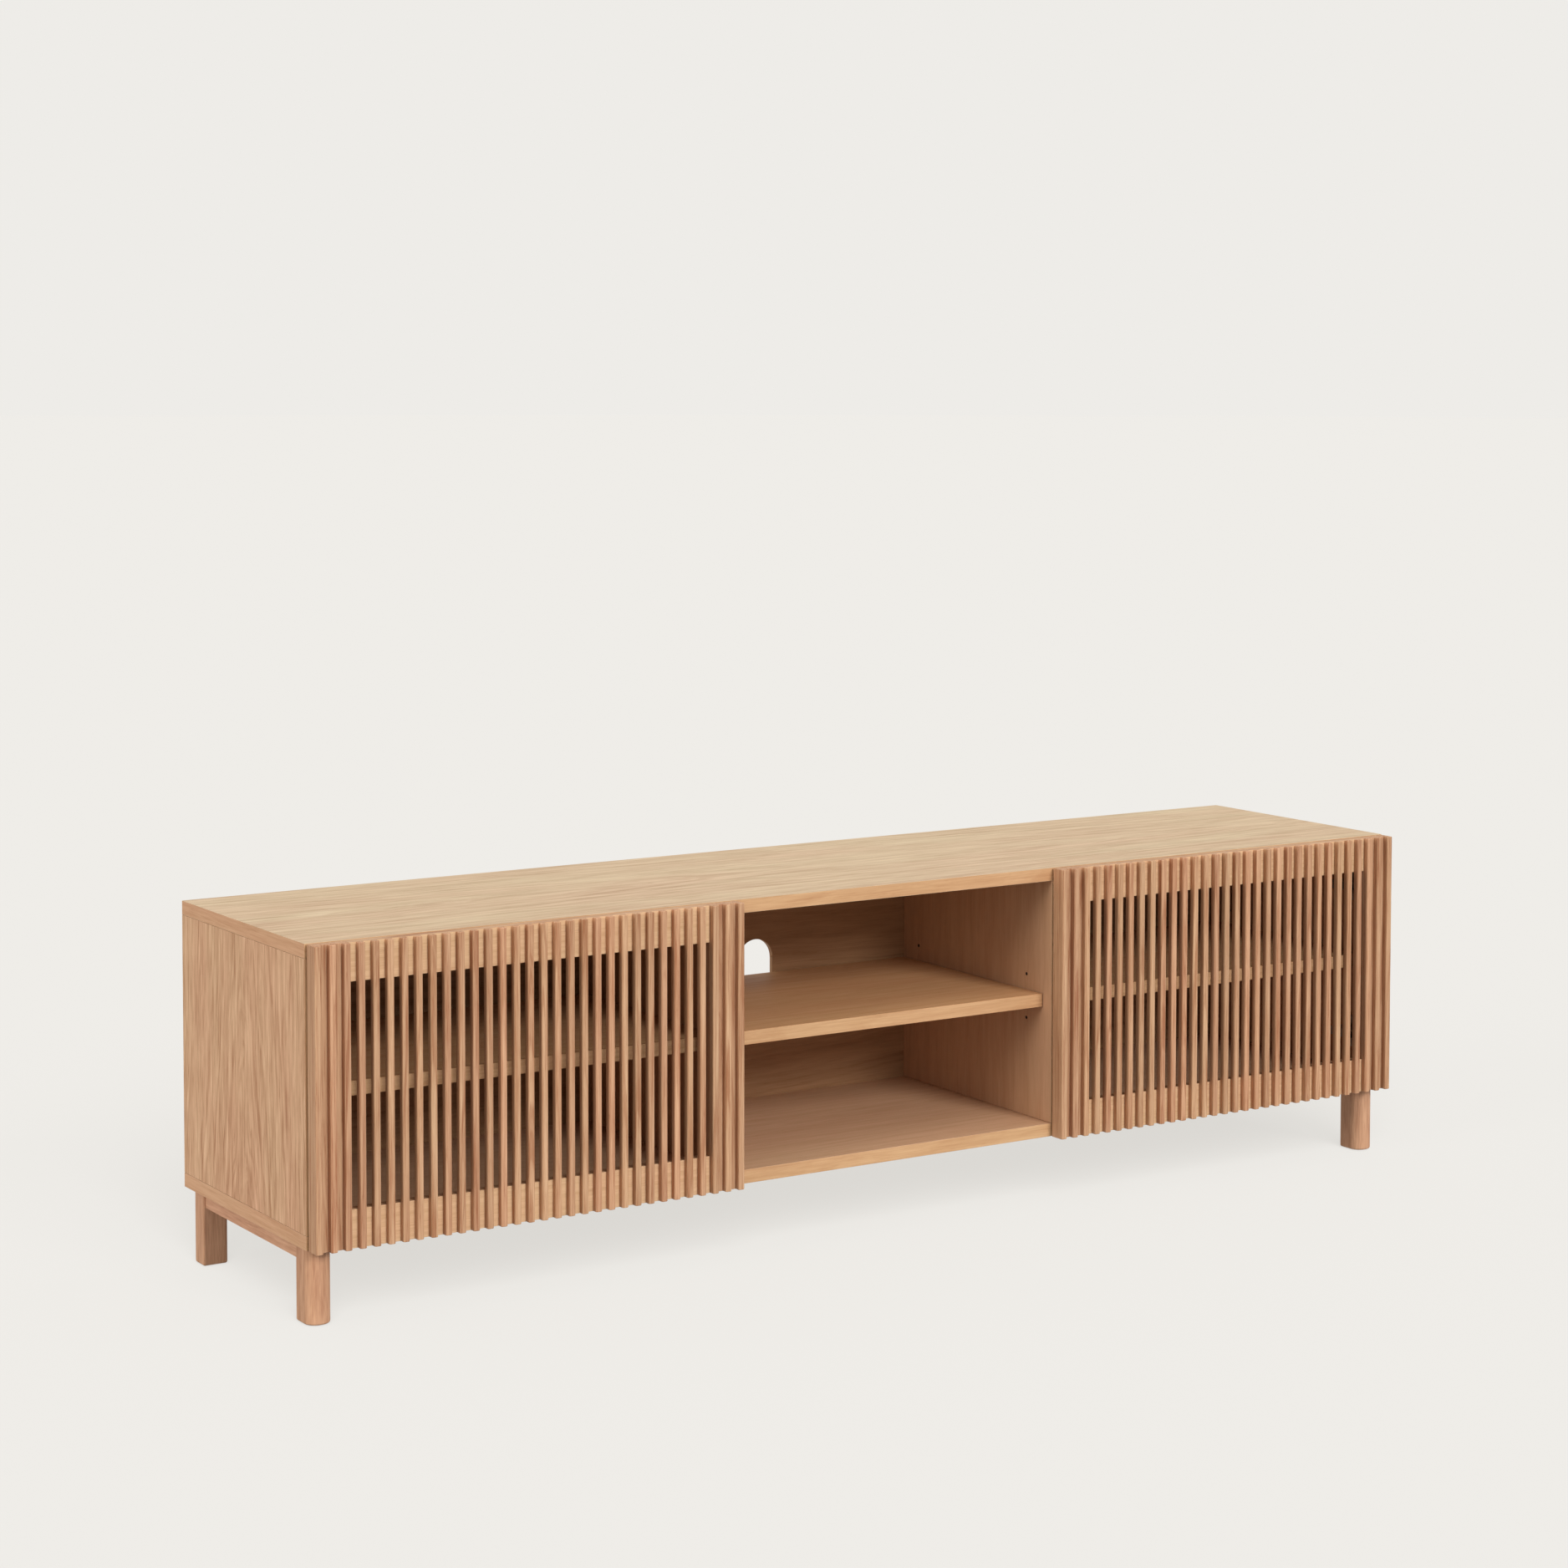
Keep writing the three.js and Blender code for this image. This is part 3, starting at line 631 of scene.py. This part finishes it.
# ---------- carcass ----------
# each board's grain axis, thickness axis and face veneer; the top's, bottom's, shelves', partitions' and
# back's veneers carry painted light and shade
BOARDS = {
    "top_panel": (0, 2, TOP_FACE_PAINTED_SHEEN),
    "bottom_panel": (0, 2, INNER_FACE_PAINTED_LIGHTING),
    "left_side_panel": (2, 0, SIDE_FACE),
    "right_side_panel": (2, 0, SIDE_FACE),
    "left_partition": (2, 0, PLAIN_FACE_PAINTED_SHADE),
    "right_partition": (2, 0, PLAIN_FACE_PAINTED_SHADE),
    "back_panel": (0, 1, BACK_FACE_PAINTED_SHADE),
    "left_shelf": (0, 2, SHELF_FACE_PAINTED_LIGHTING),
    "centre_shelf": (0, 2, SHELF_FACE_PAINTED_LIGHTING),
    "right_shelf": (0, 2, SHELF_FACE_PAINTED_LIGHTING),
}
SHORTEST_EASED_EDGE = 8 * MM
# an upright's holes start below this skin of veneer, and lie further from its outline than its grooves do
VENEER_SKIN = 0.5 * MM
DEEPEST_GROOVE = 30 * MM
# places in a board's list of looks
ON_FACE, ON_BAND, ON_END, IN_HOLE = range(4)


def board(node, along, thick, face):
    """A veneered board with bands on its edges, others on a level board's ends, and shelf-pin holes painted
    near-black as shade.
    """
    lo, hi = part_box(node)
    bm = cad_mesh(node)
    bevel(bm, sharp_edges(bm, SHORTEST_EASED_EDGE), BOARD_EASE)
    across = [a for a in range(3) if a != thick]
    for f in bm.faces:
        n = f.normal
        centre = f.calc_center_median()
        well_inside = all(lo[a] + DEEPEST_GROOVE < centre[a] < hi[a] - DEEPEST_GROOVE for a in across)
        under_skin = lo.x + VENEER_SKIN < centre.x < hi.x - VENEER_SKIN
        if thick == 0 and well_inside and (abs(n.x) < SQUARELY or under_skin):
            f.material_index = IN_HOLE
        elif abs(n[thick]) > PARTLY:
            f.material_index = ON_FACE
        elif thick == 2 and abs(n.x) > SQUARELY:
            f.material_index = ON_END
        else:
            f.material_index = ON_BAND
    # the holes' walls take the near-black oak that paints their shade
    looks = [face, BAND, END_BAND, BORE_PAINTED_SHADE]
    add_piece(node + "_board", bm, "carcass", looks, [node], along=along, thick=thick)


for node, look in BOARDS.items():
    board(node, *look)


# ---------- doors ----------
ARC_STEPS = 5
SLAT_END_STEPS = 3
# lightness, pinkness and ring contrast of the sticks at a door's edges
EDGE_SHADE = (0.0, 0.35, 0.0)


def slat_outline(x0, x1, back, front):
    """A slat's section in X and Y, with its two front edges rounded."""
    points = [(x0, back), (x1, back)]
    for i in range(ARC_STEPS + 1):
        a = math.pi / 2 * i / ARC_STEPS
        points.append((x1 - SLAT_ROUND * (1 - math.cos(a)), front + SLAT_ROUND * (1 - math.sin(a))))
    for i in range(ARC_STEPS + 1):
        a = math.pi / 2 * i / ARC_STEPS
        points.append((x0 + SLAT_ROUND * (1 - math.sin(a)), front + SLAT_ROUND * (1 - math.cos(a))))
    return points


def slat_shade(rnd):
    """A lightness, pinkness and ring contrast for one stick of oak."""
    return (
        rnd.uniform(-0.06, 0.09),
        rnd.choice((0.1, 0.2, 0.4, 0.6, 0.85)) + rnd.uniform(-0.05, 0.1),
        rnd.uniform(-0.35, 0.5),
    )


def slats(side, x0, z0, z1, back, front):
    """The door's row of sticks. All are planed a little narrower, apart from the door's own two edges."""
    last = SLAT_COUNT - 1
    for i in range(SLAT_COUNT):
        name = f"{side}_slat_{i + 1:02d}"
        left = x0 + i * SLAT_PITCH + (SLAT_PLANED if i > 0 else 0)
        right = x0 + i * SLAT_PITCH + SLAT_WIDTH - (SLAT_PLANED if i < last else 0)
        bm = extrude_z(slat_outline(left, right, back, front), z0, z1)
        bevel(bm, edges_at(bm, z0, z1), SLAT_END_EASE, SLAT_END_STEPS)
        shade = EDGE_SHADE if i in (0, last) else slat_shade(seeded(name))
        add_piece(name, bm, f"{side}_door", [SOLID], shade=shade)


def outer_stile(node, face):
    """The CAD stile behind its slats, with the hinge bores in its back."""
    bm = cad_mesh(node)
    join_flat_faces(bm)
    everything = bm.verts[:] + bm.edges[:] + bm.faces[:]
    cut = {"plane_co": (0, face, 0), "plane_no": (0, 1, 0), "clear_inner": True}
    bmesh.ops.bisect_plane(bm, geom=everything, **cut)
    bmesh.ops.holes_fill(bm, edges=[e for e in bm.edges if e.is_boundary], sides=0)
    join_flat_faces(bm)
    bevel(bm, sharp_edges(bm), OUTER_STILE_EASE)
    return bm


def door(side):
    """Slats glued to the front of two stiles and two rails."""
    body = f"{side}_door"
    outer, inner, grille = f"{body}_outer_stile", f"{body}_inner_stile", f"{body}_grille"
    outer_lo, outer_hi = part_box(outer)
    inner_lo, inner_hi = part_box(inner)
    grille_lo, grille_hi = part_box(grille)
    z0, z1, front, back = outer_lo.z, outer_hi.z, outer_lo.y, outer_hi.y
    face = front + SLAT_PROUD
    slats(side, min(outer_lo.x, inner_lo.x), z0, z1, face - SLAT_SUNK, front)
    bm = outer_stile(outer, face)
    add_piece(outer + "_board", bm, body, [SOLID], [outer], shade=EDGE_SHADE)
    bm = box_mesh((inner_lo.x, face, z0), (inner_hi.x, back, z1), DOOR_FRAME_EASE)
    add_piece(inner + "_board", bm, body, [SOLID], [inner], shade=EDGE_SHADE)
    for label, low, high in (("top", z1 - RAIL_HEIGHT, z1), ("bottom", z0, z0 + RAIL_HEIGHT)):
        bm = box_mesh((grille_lo.x, face, low), (grille_hi.x, back, high), DOOR_FRAME_EASE)
        # the front face, seen between the slats, takes the lighter rail oak that paints light into the
        # grooves; the rest takes the slats' oak
        for f in bm.faces:
            f.material_index = int(f.normal.y > -SQUARELY)
        add_piece(f"{body}_{label}_rail", bm, body, [RAIL_FRONT_PAINTED_LIGHT, SOLID], [grille], along=0)


for side in SIDES:
    door(side)


# ---------- legs ----------
LEG_ARC_STEPS = 10
FOOT_STEPS = 4
LEG_SHADE = (0.0, 0.2, 0.0)
APRON_SHADE = (0.05, 0.25, -0.5)


def rounded_rectangle(lo, hi, rounds):
    """A rectangle's outline with a radius for each corner, counter-clockwise from the lowest X and Y."""
    corners = [(lo.x, lo.y, 1, 1), (hi.x, lo.y, -1, 1), (hi.x, hi.y, -1, -1), (lo.x, hi.y, 1, -1)]
    points = []
    for k, ((x, y, dx, dy), radius) in enumerate(zip(corners, rounds)):
        for i in range(LEG_ARC_STEPS + 1):
            a = math.pi + math.pi / 2 * (k + i / LEG_ARC_STEPS)
            points.append((x + radius * (dx + math.cos(a)), y + radius * (dy + math.sin(a))))
    return points


def leg(node):
    """A post with its two outer corners well rounded, and its foot and its other corners eased."""
    lo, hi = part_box(node)
    rounds = [LEG_OUTER_ROUND, LEG_OUTER_ROUND, LEG_INNER_ROUND, LEG_INNER_ROUND]
    if lo.y + hi.y > 0:
        rounds.reverse()
    bm = extrude_z(rounded_rectangle(lo, hi, rounds), lo.z, hi.z)
    bevel(bm, edges_at(bm, lo.z), FOOT_ROUND, FOOT_STEPS)
    add_piece(node + "_post", bm, "carcass", [LEG], [node], shade=LEG_SHADE)


def apron(node):
    bm = box_mesh(*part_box(node), APRON_EASE)
    add_piece(node + "_rail", bm, "carcass", [LEG], [node], along=1, shade=APRON_SHADE)


for side in SIDES:
    leg(f"{side}_front_leg")
    leg(f"{side}_rear_leg")
    apron(f"{side}_apron")


# ---------- hardware ----------
SCREW_RADIUS = 3.2 * MM
SCREW_RISE = 0.9 * MM
SCREW_SUNK = 0.2 * MM
# two steps of the head's circle for each of the cross's twelve corners
SCREW_STEPS = 24
# the head's rings from its foot up: radius and height
SCREW_PROFILE = (
    (SCREW_RADIUS, -SCREW_SUNK),
    (SCREW_RADIUS, SCREW_RISE * 0.4),
    (SCREW_RADIUS * 0.93, SCREW_RISE * 0.8),
    (SCREW_RADIUS * 0.8, SCREW_RISE),
)
CROSS_REACH = 1.9 * MM
CROSS_HALF_WIDTH = 0.45 * MM
CROSS_DEPTH = 0.6 * MM
CUP_SCREW_OFFSET = 5 * MM
CUP_SCREW_HEIGHT = 22.5 * MM
PLATE_THICKNESS = 3.2 * MM
PLATE_SCREW_HEIGHT = 16 * MM
PLATE_SCREW_BACK = 36.5 * MM
ARM_SCREWS_BACK = (28 * MM, 52 * MM)


def join_rings(bm, low, high):
    """Side faces between two rings."""
    for i in range(len(low)):
        bm.faces.new((low[i - 1], low[i], high[i], high[i - 1]))


def circle(radius):
    angles = [2 * math.pi * i / SCREW_STEPS for i in range(SCREW_STEPS)]
    return [(radius * math.cos(a), radius * math.sin(a)) for a in angles]


def cross_outline():
    """A cross recess: one arm's two outer corners and the corner before the next arm, turned four times."""
    reach, half = CROSS_REACH, CROSS_HALF_WIDTH
    points = []
    for k in range(4):
        c, s = round(math.cos(k * math.pi / 2)), round(math.sin(k * math.pi / 2))
        for x, y in ((reach, -half), (reach, half), (half, half)):
            points.append((c * x - s * y, s * x + c * y))
    return points


def add_screw(bm, seat, out):
    """A low screw head with a cross recess, standing on a flat face at `seat` and facing along `out`."""
    turn = Vector(out).to_track_quat("Z", "Y")

    def ring(points, z):
        return [bm.verts.new(Vector(seat) + turn @ Vector((x, y, z))) for x, y in points]

    rings = [ring(circle(radius), z) for radius, z in SCREW_PROFILE]
    bm.faces.new(list(reversed(rings[0])))
    for low, high in zip(rings, rings[1:]):
        join_rings(bm, low, high)
    floor = ring(cross_outline(), SCREW_RISE - CROSS_DEPTH)
    mouth = ring(cross_outline(), SCREW_RISE)
    bm.faces.new(floor)
    join_rings(bm, floor, mouth)
    rim = rings[-1]
    for k in range(len(mouth)):
        end = 2 * k - 1
        bm.faces.new((mouth[k - 1], rim[end - 2], rim[end - 1], rim[end], mouth[k]))


def screws(name):
    """Where the screws of a hinge cup, a hinge arm or a strike plate sit, and which way they face."""
    lo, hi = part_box(name)
    centre = (lo + hi) / 2
    inward = 1 if centre.x < 0 else -1
    if name.endswith("hinge_cup"):
        x = centre.x + inward * CUP_SCREW_OFFSET
        return [((x, hi.y, centre.z + s * CUP_SCREW_HEIGHT), (0, 1, 0)) for s in (-1, 1)]
    if name.endswith("hinge_arm"):
        wall, web = (lo.x, hi.x) if inward > 0 else (hi.x, lo.x)
        plate, y = wall + inward * PLATE_THICKNESS, lo.y + PLATE_SCREW_BACK
        places = [(plate, y, centre.z + s * PLATE_SCREW_HEIGHT) for s in (-1, 1)]
        places += [(web, lo.y + back, centre.z) for back in ARM_SCREWS_BACK]
        return [(place, (inward, 0, 0)) for place in places]
    if name.endswith("strike_plate"):
        return [((centre.x, hi.y, centre.z), (0, 1, 0))]
    return []


def hardware(name, body):
    """A hinge part, latch part, shelf pin or glide: the CAD's own shape with eased edges and its screws."""
    steel = any(k in name for k in ("pin", "hinge", "strike"))
    eased = cad_mesh(name)
    join_flat_faces(eased)
    bevel(eased, sharp_edges(eased), STEEL_EASE if steel else PLASTIC_EASE)
    # on a copy, because bevels leave gaps in the list of faces, and new faces fill those in any order
    bm = eased.copy()
    eased.free()
    for seat, out in screws(name):
        add_screw(bm, seat, out)
    slot, look = ("zinc_plated_steel", STEEL) if steel else ("pale_plastic", PLASTIC)
    along = 0 if "pin" in name else 1
    add_piece(name + "_part", bm, body, [look], [name], along=along)


# the nodes that no piece has stood in for so far
for name, node in frame["nodes"].items():
    if not node.hide_render:
        hardware(name, node["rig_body"])
